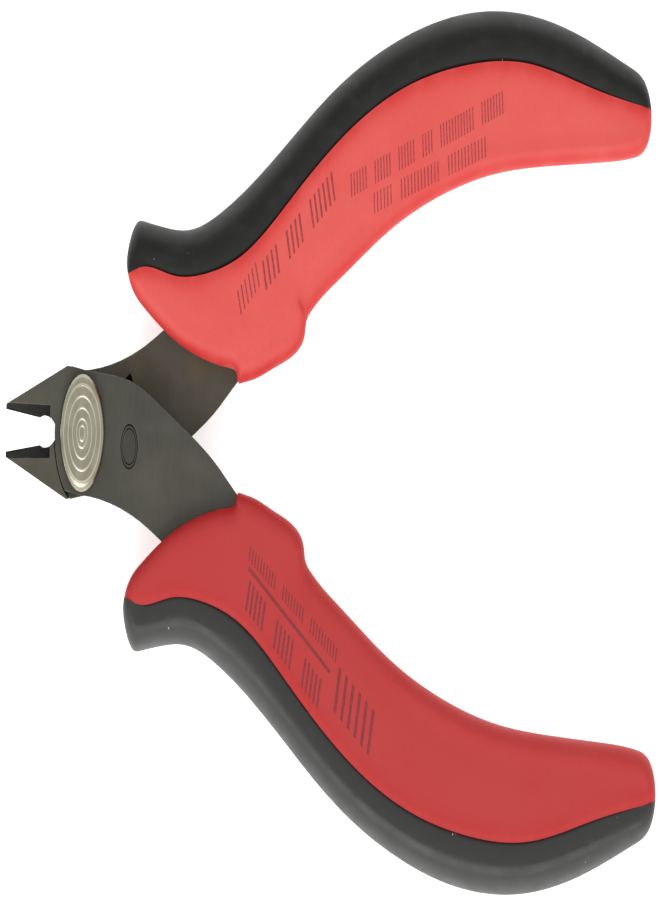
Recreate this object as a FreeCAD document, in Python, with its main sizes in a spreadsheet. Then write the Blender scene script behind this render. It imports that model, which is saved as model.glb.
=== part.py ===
"""Flush cutter: two lapped steel halves on a turned rivet, with two-part moulded handles.

Each half is drawn in its own frame: the pivot at the origin, the jaws along -X, the handle along +X
on the +Y side, and Z = 0 on the plane where the two plates meet. The rear half has that frame. The
front half is its mirror image in Y with its plate on top. Both are then turned apart to the open rest
position, and the whole tool is lifted so that its handles rest on Z = 0.
"""

import FreeCAD, Part
import math
import os

import Sketcher

V = FreeCAD.Vector

SIZES = {
    # the plates and the rivet joint
    "plate_thickness": 2.5,
    "lap_gap": 0.05,
    "lap_radius": 5.3,
    "shoulder_gap": 0.15,
    "open_half_angle": 5.6,
    "waist_outside": 4.55,
    "waist_inside": 4.6,
    # the jaws
    "jaw_reach": 14.8,
    "jaw_corner_back": 3.4,
    "tip_width": 0.4,
    "tip_thickness": 1.7,
    "edge_relief_tip": 0.1,
    "edge_relief_throat": 0.2,
    "throat_front": 8.2,
    "throat_depth": 0.46,
    "bevel_back": 6.3,
    "bend_back": 4.8,
    "flush_tilt": 20.0,
    "bevel_width": 1.1,
    "edge_land": 0.25,
    # the rivet and its washer
    "shank_radius": 2.6,
    "running_gap": 0.03,
    "rivet_head_radius": 4.3,
    "rivet_head_height": 1.1,
    "rivet_rim": 0.35,
    "ring_height": 0.09,
    "ring_flank": 0.27,
    "washer_radius": 4.2,
    "washer_thickness": 0.8,
    "peen_radius": 3.5,
    "peen_height": 0.7,
    # the stop pin, the pocket that it runs in and the return spring
    "pin_distance": 9.1,
    "pin_head_radius": 1.65,
    "pin_nose_radius": 1.0,
    "pin_nose_length": 1.8,
    "pin_rim": 0.12,
    "pocket_width": 2.4,
    "pocket_depth": 2.15,
    "pocket_end_angle": 20.5,
    "pocket_corner": 0.4,
    "stop_gap": 0.05,
    "spring_wire": 0.3,
    "spring_radius": 0.8,
    "spring_turns": 5.0,
    # the handles
    "nose_distance": 9.4,
    "handle_length": 102.4,
    "handle_thickness": 10.0,
    "edge_round": 1.5,
    "tang_wall": 1.8,
    "tang_share": 0.66,
    "anchor_radius": 1.6,
}

# Points of the handle's outline, as the share of the handle's length from its nose and the height
# above the pivot's centre line: one smooth line round the front curve, the nose, the outside, the end,
# the inside and the collar with its step. The colour line parts the two mouldings.
FRONT_CURVE = ((0.2, 1.75), (0.15, 3.0), (0.085, 5.1), (0.03, 8.2))
NOSE = ((0.006, 10.0), (0.0, 11.6), (0.006, 13.1), (0.018, 14.15))
OUTSIDE = (
    (0.034, 14.5), (0.07, 13.7), (0.12, 13.05), (0.18, 13.8), (0.28, 16.75), (0.40, 20.9),
    (0.52, 23.5), (0.64, 24.45), (0.77, 23.4), (0.885, 20.5), (0.965, 17.7),
)
END = ((0.991, 16.3), (1.0, 14.3), (0.99, 12.2))
INSIDE = (
    (0.965, 11.1), (0.9, 11.3), (0.8, 11.8), (0.7, 12.1), (0.6, 11.45), (0.5, 9.75), (0.40, 6.95),
    (0.345, 5.1),
)
COLLAR = ((0.3355, 4.3), (0.3285, 3.2), (0.3165, 2.5), (0.275, 1.75), (0.232, 1.1), (0.216, 1.15))
COLOUR_LINE = (
    (-0.02, 10.3), (0.03, 11.1), (0.085, 10.0), (0.145, 9.55), (0.22, 10.35), (0.31, 13.5),
    (0.42, 17.5), (0.53, 19.9), (0.65, 20.6), (0.77, 19.7), (0.89, 16.8), (1.02, 13.9),
)
# The arm's two edges between the round lap and the tang, as distances from the pivot and heights.
ARM_OUTSIDE = ((8.0, 4.65), (12.0, 5.2), (16.0, 6.1), (22.0, 7.4))
ARM_INSIDE = ((4.5, -4.8), (9.0, -4.75), (15.7, -3.4), (22.0, -1.8), (26.5, -0.35), (30.5, 1.3))
# The round throat behind each cutting edge, as the share of the way from the lap to the edge and the
# share of its full depth.
THROAT = ((0.0, 0.1), (0.1, 0.42), (0.24, 0.8), (0.45, 1.0), (0.69, 1.0), (0.86, 0.8))
# The raised rings turned in the rivet's head, as radii.
RINGS = (0.7, 1.85, 2.8)
# Where the tang has its moulding holes and its first two points, as shares of the handle's length.
ANCHOR_SHARES = (0.40, 0.54)
TANG_FRONT = (0.22, 0.29)

# A long curve is drawn as spans of this many points, which meet smoothly.
POINTS_PER_SPAN = 4
# How far a cutting outline runs past the material that it cuts, in millimetres.
PAST = 1.0

doc = FreeCAD.newDocument("FlushCutter")
sheet = doc.addObject("Spreadsheet::Sheet", "Sizes")
for row, (alias, value) in enumerate(SIZES.items(), start=1):
    sheet.set(f"A{row}", alias)
    sheet.set(f"B{row}", f"{value:g}")
    sheet.setAlias(f"B{row}", alias)
doc.recompute()


def size(alias):
    """The sheet's number for one alias."""
    return float(sheet.get(alias))


def amount(terms):
    """The value of a sum of sizes, given as alias to factor."""
    return sum(factor * size(alias) for alias, factor in terms.items())


def formula(terms):
    """The same sum as an expression on the sheet."""
    return " + ".join(f"{factor:g} * Sizes.{alias}" for alias, factor in terms.items())


def body(label):
    """A new PartDesign body with its own label."""
    made = doc.addObject("PartDesign::Body", label)
    made.Label = label
    return made


def sketch(owner, name, plane="XY_Plane", offset=None):
    """A sketch on one of the body's own origin planes, lifted off it by a sum of sizes."""
    made = owner.newObject("Sketcher::SketchObject", name)
    support = next(f for f in owner.Origin.OriginFeatures if f.Role == plane)
    made.AttachmentSupport = [(support, "")]
    made.MapMode = "FlatFace"
    if offset:
        made.setExpression("AttachmentOffset.Base.z", formula(offset))
    return made


def bind(drawn, geometry, point, axis, terms):
    """Hold one point of a sketch at a signed distance from the origin along DistanceX or DistanceY."""
    if not terms:
        line = -2 if axis == "DistanceX" else -1
        drawn.addConstraint(Sketcher.Constraint("PointOnObject", geometry, point, line))
        return
    value = amount(terms)
    index = drawn.addConstraint(Sketcher.Constraint(axis, -1, 1, geometry, point, value))
    drawn.setExpression(f"Constraints[{index}]", formula(terms))


def polygon(drawn, corners):
    """A closed outline of straight lines whose corners are bound to the sheet."""
    places = [V(amount(x), amount(y), 0) for x, y in corners]
    count = len(places)
    lines = [drawn.addGeometry(Part.LineSegment(places[i], places[(i + 1) % count]))
             for i in range(count)]
    for i, line in enumerate(lines):
        following = lines[(i + 1) % count]
        drawn.addConstraint(Sketcher.Constraint("Coincident", line, 2, following, 1))
    for line, (x, y) in zip(lines, corners):
        bind(drawn, line, 1, "DistanceX", x)
        bind(drawn, line, 1, "DistanceY", y)


def circle(drawn, radius, x=None, y=None):
    """A circle whose radius and centre are bound to the sheet."""
    centre = V(amount(x or {}), amount(y or {}), 0)
    made = drawn.addGeometry(Part.Circle(centre, V(0, 0, 1), amount(radius)))
    index = drawn.addConstraint(Sketcher.Constraint("Radius", made, amount(radius)))
    drawn.setExpression(f"Constraints[{index}]", formula(radius))
    bind(drawn, made, 3, "DistanceX", x or {})
    bind(drawn, made, 3, "DistanceY", y or {})


def smooth(drawn, points, closed=False):
    """A smooth curve through a few points, in short spans, held where it is drawn."""
    curve = Part.BSplineCurve()
    curve.interpolate(Points=[V(x, y, 0) for x, y in points], PeriodicFlag=closed)
    knots = curve.getKnots()
    cuts = knots[::POINTS_PER_SPAN]
    if cuts[-1] != knots[-1]:
        cuts.append(knots[-1])
    for start, end in zip(cuts, cuts[1:]):
        span = curve.copy()
        span.segment(start, end)
        made = drawn.addGeometry(span)
        drawn.addConstraint(Sketcher.Constraint("Block", made))


def straight(drawn, start, end):
    """A straight line, held where it is drawn."""
    made = drawn.addGeometry(Part.LineSegment(V(*start, 0), V(*end, 0)))
    drawn.addConstraint(Sketcher.Constraint("Block", made))


def arc(drawn, start, middle, end):
    """An arc through three points, held where it is drawn."""
    made = drawn.addGeometry(Part.Arc(V(*start, 0), V(*middle, 0), V(*end, 0)))
    drawn.addConstraint(Sketcher.Constraint("Block", made))


def pad(owner, drawn, name, length, reversed_=False):
    """Add the sketch's outline to the body, as thick as a sum of sizes."""
    made = owner.newObject("PartDesign::Pad", name)
    made.Profile = drawn
    made.setExpression("Length", formula(length))
    made.Reversed = reversed_
    doc.recompute()
    return made


def pocket(owner, drawn, name, length=None, reversed_=False, both_ways=False, direction=None):
    """Cut the sketch's outline out of the body, and check that it did cut."""
    before = owner.Shape.Volume
    made = owner.newObject("PartDesign::Pocket", name)
    made.Profile = drawn
    if length:
        made.setExpression("Length", formula(length))
    else:
        made.Type = "ThroughAll"
    made.Midplane = both_ways
    made.Reversed = reversed_
    if direction:
        made.UseCustomVector = True
        made.Direction = direction
    doc.recompute()
    if owner.Shape.Volume >= before - 1e-6:
        raise RuntimeError(f"{name} cut nothing")
    return made


def along(share):
    """The distance from the pivot at one share of the handle's length."""
    return size("nose_distance") + share * size("handle_length")


def edge_height(stations, share):
    """The height of one of the handle's edges at a share of its length, on straight lines."""
    stations = sorted(stations)
    for (start, low), (end, high) in zip(stations, stations[1:]):
        if start <= share <= end:
            return low + (high - low) * (share - start) / (end - start)
    raise ValueError(f"no edge at {share}")


def placed(stations, side):
    """Handle stations as points of one half, on its own side of the centre line."""
    return [(along(share), side * height) for share, height in stations]


def mirrored(points, side):
    """Points given as distance and height, on one half's own side of the centre line."""
    return [(x, side * y) for x, y in points]


def shared(side, terms):
    """A sum of sizes taken to one side of the centre line."""
    return {alias: side * factor for alias, factor in terms.items()}


def tang_edges(side):
    """The tang's inner and outer edges inside the handle, a wall away from its surface."""
    wall = size("tang_wall")
    shares = sorted(share for share, _ in INSIDE[:-1] if share < size("tang_share"))
    shares.append(size("tang_share"))
    inner = [(along(TANG_FRONT[1]), side * (edge_height(COLLAR, TANG_FRONT[1]) + wall))]
    inner += [(along(s), side * (edge_height(INSIDE, s) + wall)) for s in shares]
    outer = [(along(s), side * (edge_height(COLOUR_LINE, s) - wall)) for s in TANG_FRONT]
    outer += [(along(s), side * (edge_height(COLOUR_LINE, s) - wall)) for s in shares]
    return inner, outer


def draw_arm(drawn, side):
    """The plate's outline: the round lap's two sides, the arm and the tang in the handle."""
    inner, outer = tang_edges(side)
    outside = mirrored(((0.0, size("waist_outside")),) + ARM_OUTSIDE, side) + outer
    inside = mirrored(((0.0, -size("waist_inside")),) + ARM_INSIDE, side) + inner
    tip_x = (inside[-1][0] + outside[-1][0]) / 2 + abs(outside[-1][1] - inside[-1][1]) / 2
    tip = (tip_x, (inside[-1][1] + outside[-1][1]) / 2)
    smooth(drawn, outside)
    arc(drawn, outside[-1], tip, inside[-1])
    smooth(drawn, inside[::-1])
    lap_outside = (-math.sqrt(size("lap_radius") ** 2 - size("waist_outside") ** 2), outside[0][1])
    lap_inside = (-math.sqrt(size("lap_radius") ** 2 - size("waist_inside") ** 2), inside[0][1])
    straight(drawn, inside[0], lap_inside)
    arc(drawn, lap_inside, (-size("lap_radius"), 0.0), lap_outside)
    straight(drawn, lap_outside, outside[0])


def anchor_centre(share, side):
    """Where the tang has a moulding hole."""
    middle = (edge_height(INSIDE, share) + edge_height(COLOUR_LINE, share)) / 2
    return along(share), side * middle


def draw_anchor_holes(drawn, side):
    """The moulding holes, as circles in the tang's outline."""
    for share in ANCHOR_SHARES:
        x, y = anchor_centre(share, side)
        hole = drawn.addGeometry(Part.Circle(V(x, y, 0), V(0, 0, 1), size("anchor_radius")))
        drawn.addConstraint(Sketcher.Constraint("Block", hole))


def draw_jaw(drawn, side):
    """The jaw's plan outline: tip, outer edge, corner, root, throat and cutting edge."""
    throat = [({"lap_radius": share - 1, "throat_front": -share},
               shared(-side, {"throat_depth": depth})) for share, depth in THROAT]
    polygon(drawn, (
        ({"jaw_reach": -1}, shared(-side, {"edge_relief_tip": 1})),
        ({"jaw_reach": -1}, shared(-side, {"edge_relief_tip": 1, "tip_width": 1})),
        ({"jaw_corner_back": -1}, shared(-side, {"waist_outside": 1})),
        ({}, shared(-side, {"waist_outside": 1})),
        ({}, {}),
        *throat,
        ({"throat_front": -1}, shared(-side, {"edge_relief_throat": 1})),
    ))


def half_height():
    """From the meeting plane to the outer face of either plate."""
    return {"plate_thickness": 1, "lap_gap": 0.5}


def draw_above_jaw(drawn):
    """Everything over the jaw's upper face, in side view."""
    top = amount(half_height())
    rise = (size("jaw_reach") - size("bend_back")) * math.tan(math.radians(size("flush_tilt")))
    tip_top = -top + rise + size("tip_thickness")
    back = -size("lap_radius")
    front = -size("jaw_reach") - PAST
    high = 3 * size("plate_thickness") + rise
    corners = ((PAST, top), (back, top), (front, tip_top), (front, high), (PAST, high))
    for start, end in zip(corners, corners[1:] + corners[:1]):
        straight(drawn, start, end)


def draw_below_jaw(drawn):
    """Everything under the jaw's flush face, in side view."""
    low = -amount(half_height())
    back = -size("bend_back")
    front = -size("jaw_reach") - PAST
    rise = (back - front) * math.tan(math.radians(size("flush_tilt")))
    corners = ((back, low), (front, low + rise), (front, low - PAST), (back, low - PAST))
    for start, end in zip(corners, corners[1:] + corners[:1]):
        straight(drawn, start, end)


def draw_bevel(drawn, side):
    """The wedge cut off behind the cutting edge, in a section at the throat."""
    tilt = math.tan(math.radians(size("flush_tilt")))
    back = size("bevel_back")
    base = -amount(half_height()) + (back - size("bend_back")) * tilt
    land = base + size("edge_land")
    top = amount(half_height())
    edge = -side * size("edge_relief_throat")
    leaning = -side * size("bevel_width")
    over = 2 * PAST
    stretch = (top + over - land) / (top - land)
    corners = (
        (edge, land), (edge + leaning * stretch, top + over),
        (side * over, top + over), (side * over, land),
    )
    for start, end in zip(corners, corners[1:] + corners[:1]):
        straight(drawn, start, end)


def draw_pocket(drawn, side):
    """The curved pocket for the pin and the spring, from its stop to the spring's seat.

    The seat's outer corner is round, as a small milling cutter leaves it.
    """
    inner = size("pin_distance") - size("pocket_width") / 2
    outer = size("pin_distance") + size("pocket_width") / 2
    middle = size("pin_distance")
    play = size("pocket_width") / 2 - size("pin_nose_radius") - size("stop_gap")
    stop = -2 * size("open_half_angle") + math.degrees(play / middle)
    seat = size("pocket_end_angle")

    def at(radius, angle):
        turned = math.radians(angle)
        return radius * math.cos(turned), side * radius * math.sin(turned)

    half_way = (stop + seat) / 2
    round_end = stop - math.degrees(size("pocket_width") / 2 / middle)
    corner = size("pocket_corner")
    corner_turn = math.degrees(corner / outer)
    cut_back = 1 - math.sqrt(0.5)
    corner_start = at(outer, seat - corner_turn)
    corner_middle = at(outer - cut_back * corner, seat - cut_back * corner_turn)
    corner_end = at(outer - corner, seat)
    arc(drawn, at(inner, stop), at(middle, round_end), at(outer, stop))
    arc(drawn, at(outer, stop), at(outer, half_way), corner_start)
    arc(drawn, corner_start, corner_middle, corner_end)
    straight(drawn, corner_end, at(inner, seat))
    arc(drawn, at(inner, seat), at(inner, half_way), at(inner, stop))


def make_blade(label, side, level):
    """One steel half. side is the handle's side in Y and level is +1 for the upper plate."""
    blade = body(label)
    up = level > 0
    arm = sketch(blade, f"{label}_arm", offset={"lap_gap": 0.5 * level})
    draw_arm(arm, side)
    draw_anchor_holes(arm, side)
    pad(blade, arm, f"{label}_plate", {"plate_thickness": 1}, reversed_=not up)
    jaw = sketch(blade, f"{label}_jaw", offset=shared(-1, half_height()))
    draw_jaw(jaw, side)
    pad(blade, jaw, f"{label}_jaw_block", {"plate_thickness": 3})
    shoulder = sketch(blade, f"{label}_shoulder", offset={"lap_gap": 0.5 * level})
    circle(shoulder, {"lap_radius": 1, "shoulder_gap": 1})
    pocket(blade, shoulder, f"{label}_shoulder_cut", {"plate_thickness": 4}, reversed_=not up)
    above = sketch(blade, f"{label}_above", "XZ_Plane")
    draw_above_jaw(above)
    pocket(blade, above, f"{label}_top_face", both_ways=True)
    below = sketch(blade, f"{label}_below", "XZ_Plane")
    draw_below_jaw(below)
    pocket(blade, below, f"{label}_flush_face", both_ways=True)
    wedge = sketch(blade, f"{label}_wedge", "YZ_Plane", {"bevel_back": -1})
    draw_bevel(wedge, side)
    tilt = math.radians(size("flush_tilt"))
    pocket(blade, wedge, f"{label}_bevel", {"jaw_reach": 1},
           direction=V(-math.cos(tilt), 0, math.sin(tilt)))
    return blade


def cut_hole(blade, name, radius, x=None):
    """A round hole right through a blade."""
    drawn = sketch(blade, f"{name}_circle")
    circle(drawn, radius, x)
    pocket(blade, drawn, name, both_ways=True)


def make_rivet():
    """The turned rivet: peened end, shank and ringed head."""
    rivet = body("pivot_rivet")
    profile = sketch(rivet, "rivet_profile", "XZ_Plane")
    top = half_height()
    head_top = {**top, "rivet_head_height": 1}
    washer_low = {"plate_thickness": -1, "lap_gap": -1.5, "washer_thickness": -1}
    peen_low = {**washer_low, "peen_height": -1}
    shank = {"shank_radius": 1}
    head = {"rivet_head_radius": 1}
    polygon(profile, (
        ({}, peen_low),
        ({"peen_radius": 1, "rivet_rim": -1}, peen_low),
        ({"peen_radius": 1}, {**peen_low, "rivet_rim": 1}),
        ({"peen_radius": 1}, washer_low),
        (shank, washer_low),
        (shank, top),
        (head, top),
        (head, {**head_top, "rivet_rim": -1}),
        ({"rivet_head_radius": 1, "rivet_rim": -1}, head_top),
        ({}, head_top),
    ))
    turned(rivet, profile, "rivet_turned")
    for number, radius in enumerate(RINGS, start=1):
        ridge = sketch(rivet, f"ring_{number}_profile", "XZ_Plane")
        flank = size("ring_flank")
        top_z = amount(head_top)
        ring_top = top_z + size("ring_height")
        corners = ((radius - flank, top_z), (radius + flank, top_z), (radius, ring_top))
        for start, end in zip(corners, corners[1:] + corners[:1]):
            straight(ridge, start, end)
        turned(rivet, ridge, f"ring_{number}")
    return rivet


def turned(owner, profile, name):
    """Revolve a profile about the sketch's upright axis."""
    made = owner.newObject("PartDesign::Revolution", name)
    made.Profile = profile
    made.ReferenceAxis = (profile, ["V_Axis"])
    made.Angle = 360
    doc.recompute()
    return made


def make_washer():
    """The washer between the rear plate and the rivet's peened end."""
    washer = body("rivet_washer")
    drawn = sketch(washer, "washer_rings", offset={"plate_thickness": -1, "lap_gap": -1.5})
    circle(drawn, {"washer_radius": 1})
    circle(drawn, {"shank_radius": 1, "running_gap": 1})
    pad(washer, drawn, "washer_disc", {"washer_thickness": 1}, reversed_=True)
    return washer


def make_pin():
    """The stop pin: a head set in the front plate and a nose in the rear plate's pocket."""
    pin = body("stop_pin")
    place = {"pin_distance": 1}
    head = sketch(pin, "pin_head_circle", offset={"lap_gap": 0.5})
    circle(head, {"pin_head_radius": 1}, place)
    pad(pin, head, "pin_head", {"plate_thickness": 1})
    nose = sketch(pin, "pin_nose_circle", offset={"lap_gap": 0.5})
    circle(nose, {"pin_nose_radius": 1}, place)
    pad(pin, nose, "pin_nose", {"pin_nose_length": 1}, reversed_=True)
    top = amount(half_height())
    rim = [f"Edge{i}" for i, edge in enumerate(pin.Shape.Edges, start=1)
           if abs(edge.BoundBox.ZMin - top) < 1e-6]
    solid = pin.Tip
    bevel = pin.newObject("PartDesign::Chamfer", "pin_rim")
    bevel.Base = (solid, rim)
    bevel.setExpression("Size", formula({"pin_rim": 1}))
    doc.recompute()
    return pin


def make_spring():
    """The return spring: a coil along the chord of the pocket, from the pin to the far seat."""
    spring = body("return_spring")
    section = sketch(spring, "spring_section", "XZ_Plane")
    centre = V(size("spring_radius"), 0, 0)
    wire = section.addGeometry(Part.Circle(centre, V(0, 0, 1), size("spring_wire") / 2))
    index = section.addConstraint(Sketcher.Constraint("Diameter", wire, size("spring_wire")))
    section.setExpression(f"Constraints[{index}]", formula({"spring_wire": 1}))
    bind(section, wire, 3, "DistanceX", {"spring_radius": 1})
    bind(section, wire, 3, "DistanceY", {})
    distance = size("pin_distance")
    outer = size("spring_radius") + size("spring_wire") / 2
    start = math.radians(size("pocket_end_angle"))
    end = math.radians(-2 * size("open_half_angle")) + size("pin_nose_radius") / distance
    lean = (start - end) / 2
    chord = 2 * distance * math.sin(lean)
    seat_gap = outer * math.sin(lean) + size("stop_gap")
    pin_gap = 2 * size("stop_gap")
    coil = spring.newObject("PartDesign::AdditiveHelix", "spring_coil")
    coil.Profile = section
    coil.ReferenceAxis = (section, ["V_Axis"])
    coil.Mode = "height-turns-angle"
    coil.Angle = 0
    coil.Height = chord - seat_gap - pin_gap - size("spring_wire")
    coil.setExpression("Turns", formula({"spring_turns": 1}))
    doc.recompute()
    middle = (start + end) / 2
    back_off = distance * (1 - math.cos(lean)) / 2
    seat = V(distance * math.cos(start), distance * math.sin(start), 0)
    seat += V(math.cos(middle), math.sin(middle), 0) * back_off
    run = V(math.sin(middle), -math.cos(middle), 0)
    seat += run * (seat_gap + size("spring_wire") / 2)
    depth = -(size("lap_gap") + size("pocket_depth")) / 2
    turn = FreeCAD.Rotation(V(0, 0, 1), run)
    return spring, FreeCAD.Placement(seat + V(0, 0, depth), turn)


def draw_outline(drawn, side):
    """Both mouldings in plan, as one smooth closed line round the handle."""
    smooth(drawn, placed(FRONT_CURVE + NOSE + OUTSIDE + END + INSIDE + COLLAR, side), closed=True)


def draw_beyond_colour_line(drawn, side, outwards):
    """Everything on one side of the colour line, to be cut away."""
    colour = placed(COLOUR_LINE, side)
    far = side * outwards * size("handle_length")
    corners = (colour[-1], (colour[-1][0], far), (colour[0][0], far), colour[0])
    smooth(drawn, colour)
    for start, end in zip(corners, corners[1:]):
        straight(drawn, start, end)


def make_moulding(label, side, outwards):
    """The handle's rounded block, cut back to the piece on one side of the colour line."""
    moulding = body(label)
    outline = sketch(moulding, f"{label}_outline", offset={"handle_thickness": -0.5})
    draw_outline(outline, side)
    pad(moulding, outline, f"{label}_block", {"handle_thickness": 1})
    solid = moulding.Tip
    face = size("handle_thickness") / 2
    rims = [f"Edge{number}" for number, edge in enumerate(solid.Shape.Edges, start=1)
            if edge.BoundBox.ZLength < 1e-6 and abs(abs(edge.BoundBox.ZMin) - face) < 1e-6]
    rounding = moulding.newObject("PartDesign::Fillet", f"{label}_rounding")
    rounding.Base = (solid, rims)
    rounding.setExpression("Radius", formula({"edge_round": 1}))
    doc.recompute()
    beyond = sketch(moulding, f"{label}_beyond")
    draw_beyond_colour_line(beyond, side, outwards)
    pocket(moulding, beyond, f"{label}_parting", both_ways=True)
    return moulding


def make_handle(label, side, level):
    """A red body with the space that its tang fills."""
    handle = make_moulding(label, side, 1)
    tang = sketch(handle, f"{label}_tang", offset={"lap_gap": 0.5 * level})
    draw_arm(tang, side)
    draw_anchor_holes(tang, side)
    pocket(handle, tang, f"{label}_tang_space", {"plate_thickness": 1}, reversed_=level > 0)
    return handle


def make_grip(label, side):
    """A black strip along the outside of a handle."""
    return make_moulding(label, side, -1)


def make_front_half():
    """The pieces of the half with the upper plate, whose handle is on the -Y side."""
    blade = make_blade("front_blade", -1, 1)
    cut_hole(blade, "front_pivot_hole", {"shank_radius": 1})
    cut_hole(blade, "front_pin_hole", {"pin_head_radius": 1}, {"pin_distance": 1})
    return [
        blade, make_rivet(), make_washer(), make_pin(),
        make_handle("lower_handle", -1, 1), make_grip("lower_grip", -1),
    ]


def make_rear_half():
    """The pieces of the half with the lower plate, whose handle is on the +Y side."""
    blade = make_blade("rear_blade", 1, -1)
    cut_hole(blade, "rear_pivot_hole", {"shank_radius": 1, "running_gap": 1})
    drawn = sketch(blade, "spring_pocket_outline", offset={"lap_gap": -0.5})
    draw_pocket(drawn, 1)
    pocket(blade, drawn, "spring_pocket", {"pocket_depth": 1})
    return [blade, make_handle("upper_handle", 1, -1), make_grip("upper_grip", 1)]


def rest_placement(turn):
    """Where a half lies at rest: turned about the pivot, with its handle on the floor.

    The pivot's distance from the origin puts the origin under the middle of the tool's length.
    """
    opening = math.radians(size("open_half_angle"))
    handle_reach = along(1.0) * math.cos(opening) - END[1][1] * math.sin(opening)
    jaw_reach = size("jaw_reach") * math.cos(opening)
    pivot = V((jaw_reach - handle_reach) / 2, 0, size("handle_thickness") / 2)
    return FreeCAD.Placement(pivot, FreeCAD.Rotation(V(0, 0, 1), turn * size("open_half_angle")))


front_half = make_front_half()
rear_half = make_rear_half()
return_spring, spring_seat = make_spring()
for piece in front_half:
    piece.Placement = rest_placement(-1)
for piece in rear_half:
    piece.Placement = rest_placement(1)
return_spring.Placement = rest_placement(1).multiply(spring_seat)
doc.recompute()

for made in doc.Objects:
    if "Invalid" in made.State or "Error" in made.State:
        raise RuntimeError(f"{made.Name} failed: {made.State}")
pieces = front_half + rear_half + [return_spring]
for piece in pieces:
    if piece.Shape.isNull() or not piece.Shape.isValid() or len(piece.Shape.Solids) != 1:
        raise RuntimeError(f"{piece.Label} is not one valid solid")

os.makedirs("parts", exist_ok=True)
for piece in pieces:
    piece.Shape.exportStep(f"parts/{piece.Label}.step")
    print(f"{piece.Label}: {piece.Shape.Volume:.1f} mm3")
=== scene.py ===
"""Looks of the flush cutter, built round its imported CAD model.

Each sub-assembly is a class that holds its own sizes, in millimetres unless it says otherwise, builds
its meshes and dresses them. A half's own frame has the pivot at the origin and its handle along +X on
the +Y side; the rear half is that frame turned open, and the front half is its mirror image.
"""

import logging
import math
from dataclasses import dataclass, field
from enum import Enum

import bpy
import numpy as np
from mathutils import Matrix, Vector
from mathutils.geometry import delaunay_2d_cdt


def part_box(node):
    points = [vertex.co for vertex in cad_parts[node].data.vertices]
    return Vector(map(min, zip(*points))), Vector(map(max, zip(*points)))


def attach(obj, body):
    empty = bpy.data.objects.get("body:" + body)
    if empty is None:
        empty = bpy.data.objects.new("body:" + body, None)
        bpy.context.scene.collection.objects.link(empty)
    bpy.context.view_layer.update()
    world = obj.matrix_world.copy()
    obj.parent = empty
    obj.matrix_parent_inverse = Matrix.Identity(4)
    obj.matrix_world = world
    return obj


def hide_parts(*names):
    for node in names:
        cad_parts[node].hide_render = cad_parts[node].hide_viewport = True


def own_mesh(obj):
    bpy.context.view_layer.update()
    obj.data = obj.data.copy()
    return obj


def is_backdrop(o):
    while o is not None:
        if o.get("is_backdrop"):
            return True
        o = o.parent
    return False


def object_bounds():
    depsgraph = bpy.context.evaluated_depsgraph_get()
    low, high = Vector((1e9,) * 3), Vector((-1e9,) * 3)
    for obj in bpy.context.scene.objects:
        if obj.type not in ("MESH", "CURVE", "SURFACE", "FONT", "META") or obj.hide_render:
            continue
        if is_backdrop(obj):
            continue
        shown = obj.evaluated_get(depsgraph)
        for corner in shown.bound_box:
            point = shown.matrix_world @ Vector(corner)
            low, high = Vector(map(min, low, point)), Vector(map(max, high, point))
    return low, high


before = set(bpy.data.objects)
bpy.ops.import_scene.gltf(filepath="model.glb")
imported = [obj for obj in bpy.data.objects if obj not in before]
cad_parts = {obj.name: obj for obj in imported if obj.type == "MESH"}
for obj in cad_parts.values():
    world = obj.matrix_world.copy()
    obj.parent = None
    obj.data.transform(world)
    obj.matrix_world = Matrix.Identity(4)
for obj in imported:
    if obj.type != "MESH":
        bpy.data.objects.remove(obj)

logging.basicConfig(level=logging.INFO, format="%(message)s")
log = logging.getLogger("flush_cutter")

MM = 0.001
# The vertex attribute that holds how much painted shade the moulding gets.
EDGE_SHADE = "rim"
SAMPLES_PER_SPAN = 60
FEWEST_STEPS = 8
POINTS_AT_ONCE = 1500
TURNED_CREASE_DEG = 38.0
DELAUNAY_INSIDE = 1
DELAUNAY_TOLERANCE = 1e-6

Points = np.ndarray
Colour = tuple[float, float, float, float]


class Slot(Enum):
    """The record's material slots."""

    DARK_STEEL = "dark_steel"
    BRIGHT_STEEL = "bright_steel"
    SPRING_STEEL = "spring_steel"
    RED_MOULDING = "red_moulding"
    BLACK_MOULDING = "black_moulding"


class Half(Enum):
    """The two halves of the tool, each named as its CAD body."""

    FRONT = "front_half"
    REAR = "rear_half"


def tone(red: int, green: int, blue: int) -> Colour:
    """A paint shade as Blender's linear colour.

    Args:
        red: Amount of red, from 0 to 255.
        green: Amount of green, from 0 to 255.
        blue: Amount of blue, from 0 to 255.

    Returns:
        The linear colour with a full alpha.
    """
    shares = (value / 255.0 for value in (red, green, blue))
    linear = (s / 12.92 if s <= 0.04045 else ((s + 0.055) / 1.055) ** 2.4 for s in shares)
    return (*linear, 1.0)


# ---------------------------------------------------------------------------------------------------
# Shapes
# ---------------------------------------------------------------------------------------------------


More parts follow.
